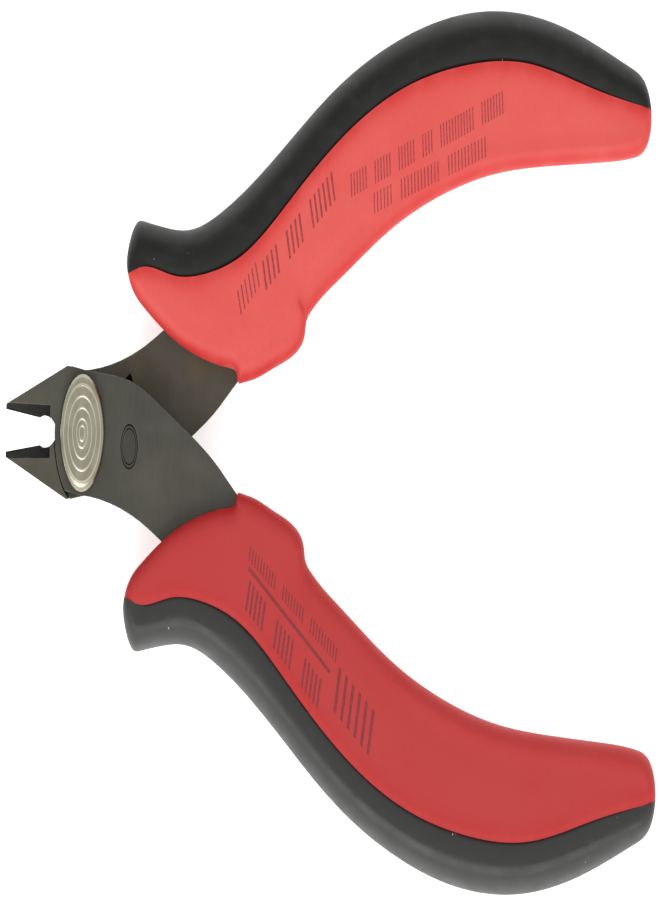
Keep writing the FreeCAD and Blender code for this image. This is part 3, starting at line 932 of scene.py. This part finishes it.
@dataclass
class HandleForm:
    """The crowned shape that both handles share, in a half's own frame.

    The outline is one smooth line through points given as the share of the handle's length from its
    nose and the height above the pivot's centre line; the colour line parts the two mouldings.
    """

    nose_distance: float = 9.4
    length: float = 102.4
    thickness: float = 10.0

    # Rounded edges: the grip's grows from the moulding's over a distance from the colour line.
    grip_round: float = 4.4
    moulding_round: float = 1.5
    round_growth: float = 5.5

    # The grip's face falls towards the colour line, but not at its outer edge.
    grip_drop: float = 0.45
    grip_shoulder: float = 2.3
    drop_fade: tuple = (0.5, 5.0)

    # The moulding's face: its crown, the lip at the colour line, and the bead and hollow inside.
    crown: float = 0.9
    crown_reach: float = 9.0
    crown_power: float = 1.4
    crown_limit: float = 1.25
    lip_drop: float = 0.12
    lip_reach: float = 0.35
    bead_height: float = 0.07
    bead_place: float = 1.1
    bead_width: float = 0.6
    bead_fade: tuple = (0.2, 0.4)
    hollow_share: float = 0.6
    hollow_place: float = 2.6
    hollow_width: float = 0.9
    inner_fade: float = 0.6

    # The fold behind the collar, from a share and a height on the outline into the face.
    fold_start: tuple = (0.3315, 4.9)
    fold_turn_deg: float = 42.0
    fold_length: float = 3.4
    fold_step: float = 0.32
    fold_width: tuple = (-0.1, 0.4)
    fold_fade: tuple = (0.4, 0.6)
    fold_flat: float = 0.6

    # Where painted shade deepens the moulding's colour: how far from a line, and between which heights
    # at the fold.
    shade_reach: float = 1.1
    shade_fold_reach: float = 0.35
    shade_fold_flat: float = 1.2
    shade_fold_heights: tuple = (7.0, 9.0)

    # The mesh: distances between its points, and how much room each of its rows asks for.
    point_spacing: float = 0.38
    grid_spacing: float = 0.65
    blend_points: int = 6
    blend_passes: int = 3
    edge_angles: tuple = (14, 28, 42, 56, 70, 84)
    edge_room: float = 0.03
    fold_offsets: tuple = (-0.1, 0.15, 0.4)
    fold_spacing: float = 0.25
    fold_room: float = 0.15
    inner_offsets: tuple = (0.4, 0.85, 1.35, 1.9)
    inner_room: float = 0.2
    seam_offsets: tuple = (0.12, 0.27, 0.45, 0.7, 1.05, 1.5)
    seam_room: float = 0.1
    grid_room: float = 0.42
    cell: float = 0.45
    rim_room: float = 0.12
    depth_share: float = 0.97
    depth_slack: float = 0.002
    seam_clearance: float = 0.06
    seam_trim: float = 0.25
    wall_rows: int = 4
    on_rim: float = 0.02

    front_curve: tuple = (
        (0.2, 1.9), (0.1965, 2.08), (0.18, 2.42), (0.15, 3.08), (0.085, 5.25), (0.03, 8.1),
    )
    nose: tuple = ((0.006, 10.0), (0.0, 11.6), (0.006, 13.1), (0.0165, 14.2), (0.023, 14.5))
    outside: tuple = (
        (0.036, 14.4), (0.07, 13.7), (0.12, 13.05), (0.18, 13.8), (0.28, 16.75), (0.40, 20.9),
        (0.52, 23.5), (0.64, 24.45), (0.77, 23.4), (0.885, 20.5), (0.965, 17.7),
    )
    end: tuple = ((0.991, 16.3), (1.0, 14.4), (0.9975, 12.7), (0.986, 11.45))
    inside: tuple = (
        (0.962, 11.0), (0.9, 11.2), (0.8, 11.8), (0.7, 12.1), (0.6, 11.45), (0.5, 9.75),
        (0.40, 6.95), (0.345, 5.1),
    )
    collar: tuple = (
        (0.3345, 4.35), (0.331, 3.45), (0.3255, 2.85), (0.3165, 2.4), (0.275, 1.6), (0.232, 1.05),
        (0.208, 0.98), (0.2035, 1.04), (0.2015, 1.3),
    )
    colour_line: tuple = (
        (-0.02, 10.3), (0.03, 11.1), (0.085, 10.0), (0.145, 9.55), (0.22, 10.35), (0.31, 13.5),
        (0.42, 17.5), (0.53, 19.9), (0.65, 20.6), (0.77, 19.7), (0.89, 16.8), (1.02, 13.9),
    )

    def __post_init__(self) -> None:
        """Works out the outline, the colour line and the rounding along the outline."""
        marks = (*self.front_curve, *self.nose, *self.outside, *self.end, *self.inside, *self.collar)
        self.rim = spline_through(self.true_places(marks), self.point_spacing, closed=True)
        self.inward = -left_normals(self.rim, closed=True)
        seam = spline_through(self.true_places(self.colour_line), self.point_spacing, closed=False)
        self.seam_all, self.seam_left = seam, left_normals(seam, closed=False)
        on_grip = (self.seam_offset(self.rim) > 0).astype(float)
        shifts = range(-self.blend_points, self.blend_points + 1)
        for _ in range(self.blend_passes):
            on_grip = sum(np.roll(on_grip, k) for k in shifts) / float(len(shifts))
        self.rounding = self.moulding_round + (self.grip_round - self.moulding_round) * on_grip
        self.on_grip = on_grip
        self.close_seam()

    def true_places(self, marks: tuple) -> Points:
        """The millimetre places of points given as shares and heights."""
        return np.array([(self.nose_distance + share * self.length, height) for share, height in marks])

    def seam_offset(self, points: Points) -> Points:
        """Signed distance from the colour line.

        Args:
            points: Places in the half's own frame, two numbers a row.

        Returns:
            One distance for each place, above zero on the grip's side.
        """
        distance, place = nearest(points, self.seam_all)
        side = ((points - self.seam_all[place]) * self.seam_left[place]).sum(axis=1)
        return np.where(side >= 0, distance, -distance)

    def close_seam(self) -> None:
        """Ends the colour line on the outline, with a point of the outline at each end."""
        side = self.seam_offset(self.rim) > 0
        turns = [i for i in range(len(self.rim)) if side[i] != side[i - 1]]
        gap, place = nearest(self.seam_all, self.rim)
        depth = ((self.seam_all - self.rim[place]) * self.inward[place]).sum(axis=1)
        middle = self.seam_all[(depth > self.seam_trim) & (gap > self.seam_trim)]
        ends = [self.rim[i] for i in turns]
        first = min(ends, key=lambda p: np.linalg.norm(p - middle[0]))
        last = min(ends, key=lambda p: np.linalg.norm(p - middle[-1]))
        self.seam = np.vstack([first, middle, last])

    def height(self, points: Points, grip: bool) -> Points:
        """Height of one moulding's upper face over the floor.

        Args:
            points: Places in the half's own frame, two numbers a row.
            grip: Whether it is the grip's face and not the hard moulding's.

        Returns:
            One height for each place.
        """
        gap, place = nearest(points, self.rim)
        offset = self.seam_offset(points)
        rounding = np.full(len(points), self.moulding_round)
        if grip:
            growth = ease(offset, 0.0, self.round_growth)
            rounding += (self.grip_round - self.moulding_round) * growth
        in_edge = np.clip(rounding - gap, 0.0, None)
        edge = rounding - np.sqrt(np.maximum(rounding**2 - in_edge**2, 0.0))
        if grip:
            drop = self.grip_drop * (1.0 - np.clip(offset / self.grip_shoulder, 0.0, 1.0)) ** 2
            return self.thickness - edge - drop * ease(gap, *self.drop_fade)
        slope = self.crown * (np.clip(-offset, 0.0, None) / self.crown_reach) ** self.crown_power
        slope = np.minimum(slope, self.crown * self.crown_limit)
        seam = self.lip_drop * np.exp(-((offset / self.lip_reach) ** 2))
        return self.thickness - slope - seam - edge + self.inner_lift(points, gap, offset, place)

    def inner_lift(self, points: Points, gap: Points, offset: Points, place: Points) -> Points:
        """The bead, the hollow and the collar's fold along the moulding's inner edge.

        Args:
            points: Places in the half's own frame, two numbers a row.
            gap: Their distances from the outline.
            offset: Their signed distances from the colour line.
            place: The numbers of the outline's points closest to them.

        Returns:
            How much higher the face is at each place.
        """
        share = (points[:, 0] - self.nose_distance) / self.length
        inner = ease(-offset, 0.0, self.inner_fade) * (1.0 - self.on_grip[place])
        bead = self.bead_height * np.exp(-(((gap - self.bead_place) / self.bead_width) ** 2))
        hollow = np.exp(-(((gap - self.hollow_place) / self.hollow_width) ** 2))
        bead -= self.hollow_share * self.bead_height * hollow
        behind = ease(self.fold_offset(points), *self.fold_width)
        fading = 1.0 - ease(share, *self.fold_fade)
        near = 1.0 - ease(gap, self.fold_flat, self.fold_length)
        step = self.fold_step * behind * fading * near
        return inner * (bead * ease(share, *self.bead_fade) - step)

    @property
    def fold_across(self) -> Points:
        """The direction from the collar straight over its fold."""
        turn = math.radians(self.fold_turn_deg)
        return np.array([math.cos(turn), math.sin(turn)])

    def fold_offset(self, points: Points) -> Points:
        """Distance behind the collar's fold.

        Args:
            points: Places in the half's own frame, two numbers a row.

        Returns:
            One distance for each place, below zero on the collar.
        """
        start = self.true_places((self.fold_start,))[0]
        return (points - start) @ self.fold_across

    def fold_lines(self) -> list:
        """Rows of points close to the collar's fold, so that the mesh follows it.

        Returns:
            The rows.
        """
        start = self.true_places((self.fold_start,))[0]
        across = self.fold_across
        up = np.array([-across[1], across[0]])
        travel = np.arange(0.0, self.fold_length, self.fold_spacing)[:, None]
        return [start + across * offset + up * travel for offset in self.fold_offsets]

    def mesh_rows(self) -> list:
        """The rows of points that the flat mesh may take inside its outline.

        Returns:
            For each row its points, their depths inside the outline if it follows the outline, and
            the room that each point asks for. Where rows come too close, the earlier one's points stay.
        """
        rows = []
        for angle in self.edge_angles:
            depth = self.rounding * (1 - math.cos(math.radians(angle)))
            rows.append((self.rim + self.inward * depth[:, None], depth, self.edge_room))
        rows += [(row, None, self.fold_room) for row in self.fold_lines()]
        for extra in self.inner_offsets:
            depth = self.rounding + extra
            rows.append((self.rim + self.inward * depth[:, None], depth, self.inner_room))
        normals = left_normals(self.seam, closed=False)
        for offset in self.seam_offsets:
            for side in (1, -1):
                rows.append((self.seam + normals * offset * side, None, self.seam_room))
        low, high = self.rim.min(axis=0), self.rim.max(axis=0)
        xs = np.arange(low[0], high[0], self.grid_spacing)
        ys = np.arange(low[1], high[1], self.grid_spacing)
        across, along = np.meshgrid(ys, xs)
        shift = (np.arange(len(xs)) % 2 * self.grid_spacing / 2)[:, None]
        grid = np.column_stack([along.ravel(), (across + shift).ravel()])
        return [*rows, (grid, None, self.grid_room)]

    def scatter(self) -> tuple[list, list]:
        """The points and the fixed lines of the handle's flat mesh.

        Returns:
            The points, and the pairs of point numbers that stay joined.
        """
        count = len(self.rim)
        chosen = [tuple(p) for p in self.rim]
        edges = [(i, (i + 1) % count) for i in range(count)]
        ends = [int(nearest(self.seam[k:k + 1], self.rim)[1][0]) for k in (0, len(self.seam) - 1)]
        inner = list(range(count, count + len(self.seam) - 2))
        chosen += [tuple(p) for p in self.seam[1:-1]]
        chain = [ends[0], *inner, ends[1]]
        edges += list(zip(chain, chain[1:]))
        taken: dict = {}
        for x, y in chosen:
            taken.setdefault((int(x // self.cell), int(y // self.cell)), []).append((x, y))
        for points, depth, room in self.mesh_rows():
            for x, y in points[self.fits(points, depth)]:
                column, row = int(x // self.cell), int(y // self.cell)
                close = any(
                    (x - a) ** 2 + (y - b) ** 2 < room * room
                    for i in (column - 1, column, column + 1)
                    for j in (row - 1, row, row + 1)
                    for a, b in taken.get((i, j), ())
                )
                if not close:
                    taken.setdefault((column, row), []).append((x, y))
                    chosen.append((x, y))
        return chosen, edges

    def fits(self, points: Points, depth: Points | None) -> Points:
        """Which points of a row lie inside the outline and clear of both lines.

        Args:
            points: The row's points.
            depth: Their wanted depths inside the outline, where the row follows it. A row that
                folds over itself in a tight bend comes closer, and is left out there.

        Returns:
            True or false for each point.
        """
        gap, place = nearest(points, self.rim)
        within = ((points - self.rim[place]) * self.inward[place]).sum(axis=1) > 0
        least = self.rim_room if depth is None else self.depth_share * depth - self.depth_slack
        return within & (gap >= least) & (np.abs(self.seam_offset(points)) > self.seam_clearance)

    def upper_face(self) -> UpperFace:
        """Both mouldings' upper faces as triangles.

        Returns:
            The faces.
        """
        chosen, edges = self.scatter()
        found = delaunay_2d_cdt([Vector(p) for p in chosen], edges, [], DELAUNAY_INSIDE,
                                DELAUNAY_TOLERANCE)
        points = np.array([tuple(p) for p in found[0]])
        triangles = [tuple(f) for f in found[2]]
        middles = np.array([points[list(f)].mean(axis=0) for f in triangles])
        on_grip = self.seam_offset(middles) > 0
        return UpperFace(
            points=points,
            grip=[f for f, side in zip(triangles, on_grip) if side],
            grip_heights=self.height(points, grip=True),
            moulding=[f for f, side in zip(triangles, on_grip) if not side],
            moulding_heights=self.height(points, grip=False),
        )

    def edge_shade_share(self, flat: Points) -> Points:
        """How near each place is to the outline, the colour line or the fold, for the moulding's
        painted shade.

        Args:
            flat: Places in the half's own frame, two numbers a row.

        Returns:
            Shares from 0, far inside, to 1 on a line.
        """
        outline_gap = nearest(flat, self.rim)[0]
        gap = np.minimum(outline_gap, np.abs(self.seam_offset(flat)))
        fold = np.exp(-((self.fold_offset(flat) / self.shade_fold_reach) ** 2))
        fold *= 1.0 - ease(outline_gap, self.shade_fold_flat, self.fold_length)
        inner = 1.0 - ease(flat[:, 1], *self.shade_fold_heights)
        return np.maximum(np.exp(-((gap / self.shade_reach) ** 2)), fold * inner)

    def solid(self, points: Points, heights: Points, triangles: list) -> tuple[Points, list, set]:
        """Closes one moulding's upper face with its walls and its lower face.

        Args:
            points: The flat mesh's points.
            heights: The upper face's height at each.
            triangles: The moulding's triangles.

        Returns:
            The vertices, the faces, and the pairs of vertices along the hidden seam wall.
        """
        used = sorted({i for f in triangles for i in f})
        number = {old: new for new, old in enumerate(used)}
        count = len(used)
        flat, top = points[used], heights[used]
        vertices = [np.column_stack([flat, top]), np.column_stack([flat, self.thickness - top])]
        faces = [tuple(number[i] for i in f) for f in triangles]
        faces += [tuple(number[i] + count for i in reversed(f)) for f in triangles]
        directed = {(f[k], f[(k + 1) % 3]) for f in triangles for k in range(3)}
        border = {a: b for a, b in directed if (b, a) not in directed}
        start = next(iter(border))
        loop = [start]
        while border[loop[-1]] != start:
            loop.append(border[loop[-1]])
        levels = [np.array([number[i] for i in loop])]
        base = 2 * count
        for row in range(1, self.wall_rows):
            share = row / self.wall_rows
            ring = np.column_stack([points[loop], heights[loop] * (1 - share)
                                    + (self.thickness - heights[loop]) * share])
            vertices.append(ring)
            levels.append(np.arange(base, base + len(loop)))
            base += len(loop)
        levels.append(np.array([number[i] + count for i in loop]))
        for upper, lower in zip(levels, levels[1:]):
            for k in range(len(loop)):
                n = (k + 1) % len(loop)
                faces.append((int(upper[k]), int(lower[k]), int(lower[n]), int(upper[n])))
        gap = nearest(points[loop], self.rim)[0]
        hidden = set()
        for k in range(len(loop)):
            n = (k + 1) % len(loop)
            if gap[k] > self.on_rim or gap[n] > self.on_rim:
                for level in (levels[0], levels[-1]):
                    hidden.add(frozenset((int(level[k]), int(level[n]))))
        return np.vstack(vertices), faces, hidden


def crisp_edges(piece: bpy.types.Object, pairs: set) -> None:
    """Keeps chosen edges of a smooth mesh sharp.

    Args:
        piece: The piece.
        pairs: The edges, as sets of two vertex numbers.
    """
    for edge in piece.data.edges:
        if frozenset(edge.vertices) in pairs:
            edge.use_edge_sharp = True


@dataclass
class Handle:
    """One handle: a hard moulding with a soft grip along its outside."""

    side: str
    form: HandleForm
    placement: Placement
    moulding: HardMoulding
    grip: SoftGrip

    def build(self, face: UpperFace) -> None:
        """Builds the grip and the moulding.

        Args:
            face: The upper face that both are made from.
        """
        self.build_moulding(f"grip_{self.side}", f"{self.side}_grip", Slot.BLACK_MOULDING,
                            face.points, face.grip_heights, face.grip, self.grip.material())
        self.build_moulding(f"moulding_{self.side}", f"{self.side}_handle", Slot.RED_MOULDING,
                            face.points, face.moulding_heights, face.moulding,
                            self.moulding.material())

    def build_moulding(self, name: str, node: str, slot: Slot, points: Points, heights: Points,
                       triangles: list, material: bpy.types.Material) -> None:
        """Builds one of the handle's two mouldings.

        Args:
            name: The piece's name.
            node: The CAD node that it stands for.
            slot: The record's slot that its finish belongs to.
            points: The upper face's flat points.
            heights: The moulding's height at each.
            triangles: The moulding's triangles.
            material: Its finish.
        """
        vertices, faces, hidden = self.form.solid(points, heights, triangles)
        # Painted shade: how strongly the hard moulding's colour deepens at each vertex, near the
        # outline, the colour line and the fold.
        rim = self.form.edge_shade_share(vertices[:, :2])
        if self.placement.half is Half.FRONT:
            faces = [tuple(reversed(f)) for f in faces]
        piece = shell(name, self.placement.place(vertices), faces, material)
        crisp_edges(piece, hidden)
        piece.data.attributes.new(EDGE_SHADE, "FLOAT", "POINT").data.foreach_set("value", rim)
        finish_piece(piece, self.placement.half.value, slot, node)
        log.info("%s: %d vertices", name, len(vertices))


@dataclass(frozen=True)
class TickRow:
    """A row of plain printed ticks in a half's own frame."""

    start: tuple
    end: tuple
    groups: tuple
    tall: float
    stroke: float
    lean: float = 0.12
    gap: float = 1.6


@dataclass(frozen=True)
class Bar:
    """One straight printed bar in a half's own frame."""

    start: tuple
    end: tuple
    stroke: float


@dataclass
class PrintedMarks:
    """Plain printed ticks and bars on a handle's red face, with no lettering."""

    name: str
    form: HandleForm
    placement: Placement
    rows: tuple
    finish: PrintedInk
    bars: tuple = ()
    film: float = 0.02
    step: float = 0.6

    def strokes(self, row: TickRow) -> list:
        """The corners of each tick in a row.

        Args:
            row: The row.

        Returns:
            Four flat corners for each tick, from its foot upwards.
        """
        start, end = np.array(row.start), np.array(row.end)
        along = (end - start) / np.linalg.norm(end - start)
        up = np.array([-along[1], along[0]])
        ticks = sum(row.groups)
        spaces = len(row.groups) - 1
        pitch = np.linalg.norm(end - start) / max(1e-6, ticks - 1 + spaces * row.gap)
        corners, travel = [], 0.0
        for group in row.groups:
            for _ in range(group):
                foot = start + along * travel
                head = foot + up * row.tall + along * row.lean * row.tall
                half = along * row.stroke / 2
                corners.append((foot - half, foot + half, head + half, head - half))
                travel += pitch
            travel += pitch * row.gap
        return corners

    def bar_corners(self, bar: Bar) -> tuple:
        """The corners of a bar, two at its start and two at its end.

        Args:
            bar: The bar.

        Returns:
            Four flat corners.
        """
        start, end = np.array(bar.start), np.array(bar.end)
        along = (end - start) / np.linalg.norm(end - start)
        half = np.array([along[1], -along[0]]) * bar.stroke / 2
        return start - half, start + half, end + half, end - half

    def build(self) -> None:
        """Builds the ticks and bars as a thin film on the handle's face."""
        points, faces = [], []
        strokes = [corners for row in self.rows for corners in self.strokes(row)]
        strokes += [self.bar_corners(bar) for bar in self.bars]
        for low_left, low_right, high_right, high_left in strokes:
            base = len(points)
            steps = max(2, math.ceil(np.linalg.norm(high_left - low_left) / self.step))
            for k in range(steps + 1):
                share = k / steps
                points.append(low_left * (1 - share) + high_left * share)
                points.append(low_right * (1 - share) + high_right * share)
            faces += [(base + 2 * k, base + 2 * k + 1, base + 2 * k + 3, base + 2 * k + 2)
                      for k in range(steps)]
        flat = np.array(points)
        raised = np.column_stack([flat, self.form.height(flat, grip=False) + self.film])
        if self.placement.half is Half.FRONT:
            faces = [tuple(reversed(f)) for f in faces]
        marks = shell(self.name, self.placement.place(raised), faces, self.finish.material())
        finish_piece(marks, self.placement.half.value, Slot.RED_MOULDING)


# ---------------------------------------------------------------------------------------------------
# Studio
# ---------------------------------------------------------------------------------------------------


@dataclass
class Studio:
    """A light table, a white surround with one soft key light, and a camera far above the tool.

    The camera's roll is in radians, its clip distances are in metres, and squeeze says how many times
    narrower than true its picture is from side to side.
    """

    picture_ratio: float = 11 / 15
    squeeze: float = 2.65
    roll: float = -0.0126
    lens: float = 1150.0
    sensor: float = 36.0
    view_width: float = 126.92
    reference_height: float = 8.0
    aim: tuple = (0.12, -0.65)
    clip: tuple = (0.1, 20.0)
    table_size: float = 12000.0
    table_steps: int = 8
    surround: Colour = (1.0, 1.0, 0.995, 1.0)
    surround_strength: float = 1.12
    key: float = 1.5
    key_colour: tuple = (1.0, 0.995, 0.98)
    key_elevation_deg: float = 36.0
    key_azimuth_deg: float = -100.0
    key_softness_deg: float = 40.0

    def build(self) -> None:
        """Builds the table, the light and the camera."""
        self.build_table()
        self.build_light()
        self.build_camera()

    def build_table(self) -> None:
        """Lays the table top under the tool."""
        half = self.table_size * MM / 2
        steps = self.table_steps
        line = np.linspace(-half, half, steps + 1)
        points = np.array([(x, y, 0.0) for y in line for x in line])
        faces = [(j * (steps + 1) + i, j * (steps + 1) + i + 1, (j + 1) * (steps + 1) + i + 1,
                  (j + 1) * (steps + 1) + i) for j in range(steps) for i in range(steps)]
        table = shell("table_top", points, faces, PaleTable("pale_table").material())
        table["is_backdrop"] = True

    def build_light(self) -> None:
        """Sets an even white surround and one soft key light."""
        world = bpy.data.worlds.new("surround")
        world.use_nodes = True
        background = world.node_tree.nodes["Background"]
        background.inputs["Color"].default_value = self.surround
        background.inputs["Strength"].default_value = self.surround_strength
        bpy.context.scene.world = world
        lamp = bpy.data.lights.new("key_light", "SUN")
        lamp.energy = self.key
        lamp.angle = math.radians(self.key_softness_deg)
        lamp.color = self.key_colour
        light = bpy.data.objects.new("key_light", lamp)
        bpy.context.scene.collection.objects.link(light)
        elevation, azimuth = math.radians(self.key_elevation_deg), math.radians(self.key_azimuth_deg)
        towards = Vector((math.cos(azimuth) * math.cos(elevation),
                          math.sin(azimuth) * math.cos(elevation), math.sin(elevation)))
        light.rotation_mode = "QUATERNION"
        light.rotation_quaternion = towards.to_track_quat("Z", "Y")
        bpy.context.scene.view_settings.view_transform = "Standard"

    def build_camera(self) -> None:
        """Sets the camera straight above, with its picture narrowed from side to side."""
        low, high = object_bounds()
        centre = (low + high) / 2
        distance = self.view_width * MM / 2 / (self.picture_ratio * self.sensor / 2 / self.lens)
        data = bpy.data.cameras.new("camera")
        data.lens = self.lens
        data.sensor_width = self.sensor
        data.clip_start, data.clip_end = self.clip
        camera = bpy.data.objects.new("camera", data)
        rig = bpy.data.objects.new("camera_rig", None)
        for made in (camera, rig):
            bpy.context.scene.collection.objects.link(made)
        share = 1.0 / self.squeeze
        lift = math.sqrt(1.0 - share * share)
        c, s = math.cos(self.roll), math.sin(self.roll)
        right, up, back = (c, -s, 0.0), (share * s, share * c, lift), (0.0, 0.0, 1.0)
        lean = Matrix([[right[i], up[i], back[i], 0.0] for i in range(3)] + [[0.0, 0.0, 0.0, 1.0]])
        spot = Vector((centre.x + self.aim[0] * MM, centre.y + self.aim[1] * MM,
                       self.reference_height * MM + distance))
        camera.parent = rig
        camera.matrix_parent_inverse = lean
        camera.matrix_basis = Matrix.Translation(lean.inverted() @ spot)
        bpy.context.scene.camera = camera


# The printed marks, in millimetres in a half's own frame.
UPPER_ROWS = (
    TickRow((53.2, 12.8), (83.0, 16.4), (6, 6, 6, 4, 12, 8), 1.7, 0.2, gap=2.2),
    TickRow((57.5, 11.2), (79.3, 13.5), (6, 12, 12), 1.5, 0.2, gap=2.2),
    TickRow((31.2, 6.0), (34.8, 7.7), (6,), 1.9, 0.22),
    TickRow((36.2, 7.4), (49.9, 12.8), (4, 4, 6), 2.2, 0.34),
)
LOWER_ROWS = (
    TickRow((33.2, 4.6), (50.4, 10.0), (10, 8, 10), 1.1, 0.2, gap=2.0),
    TickRow((33.4, 7.1), (47.6, 12.6), (5, 5, 5), 2.2, 0.36, gap=2.4),
    TickRow((51.2, 11.4), (57.8, 13.7), (6,), 3.3, 0.5),
)
LOWER_BARS = (Bar((33.0, 6.2), (49.3, 11.9), 0.28),)


def main() -> None:
    """Builds the whole scene in order."""
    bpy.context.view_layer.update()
    Studio().build()
    log.info("studio: table, light and camera")
    Blades().build()
    log.info("blades: front and rear")
    RivetJoint().build()
    log.info("rivet joint: rivet, washer and stop pin")
    ReturnSpring().build()
    log.info("return spring")
    form = HandleForm()
    face = form.upper_face()
    log.info("handle form: %d points", len(face.points))
    upper, lower = Placement(Half.REAR), Placement(Half.FRONT)
    # Painted light and shade: both handles are one moulding, but the upper one's red is painted lighter
    # and its grip darker and less glossy, and the lower one's red darker and its grip lighter, as the
    # key light falls.
    Handle("upper", form, upper, HardMoulding("red_lit_upper", tone(198, 76, 71), tone(186, 42, 38)),
           SoftGrip("black_shaded_upper", skin=tone(21, 21, 20), gloss=0.18)).build(face)
    Handle("lower", form, lower, HardMoulding("red_shaded_lower", tone(168, 46, 46), tone(166, 30, 30)),
           SoftGrip("black_lit_lower", skin=tone(28, 28, 27))).build(face)
    # Painted shade: the lower handle's ink is a darker copy of the upper one's, as is its red.
    PrintedMarks("ticks_upper", form, upper, UPPER_ROWS, PrintedInk("ink_lit_upper")).build()
    PrintedMarks("ticks_lower", form, lower, LOWER_ROWS, PrintedInk(
        "ink_shaded_lower", ink=tone(114, 40, 44), rubbed=tone(146, 46, 48)), bars=LOWER_BARS).build()
    log.info("printed ticks")


if __name__ == "__main__":
    main()
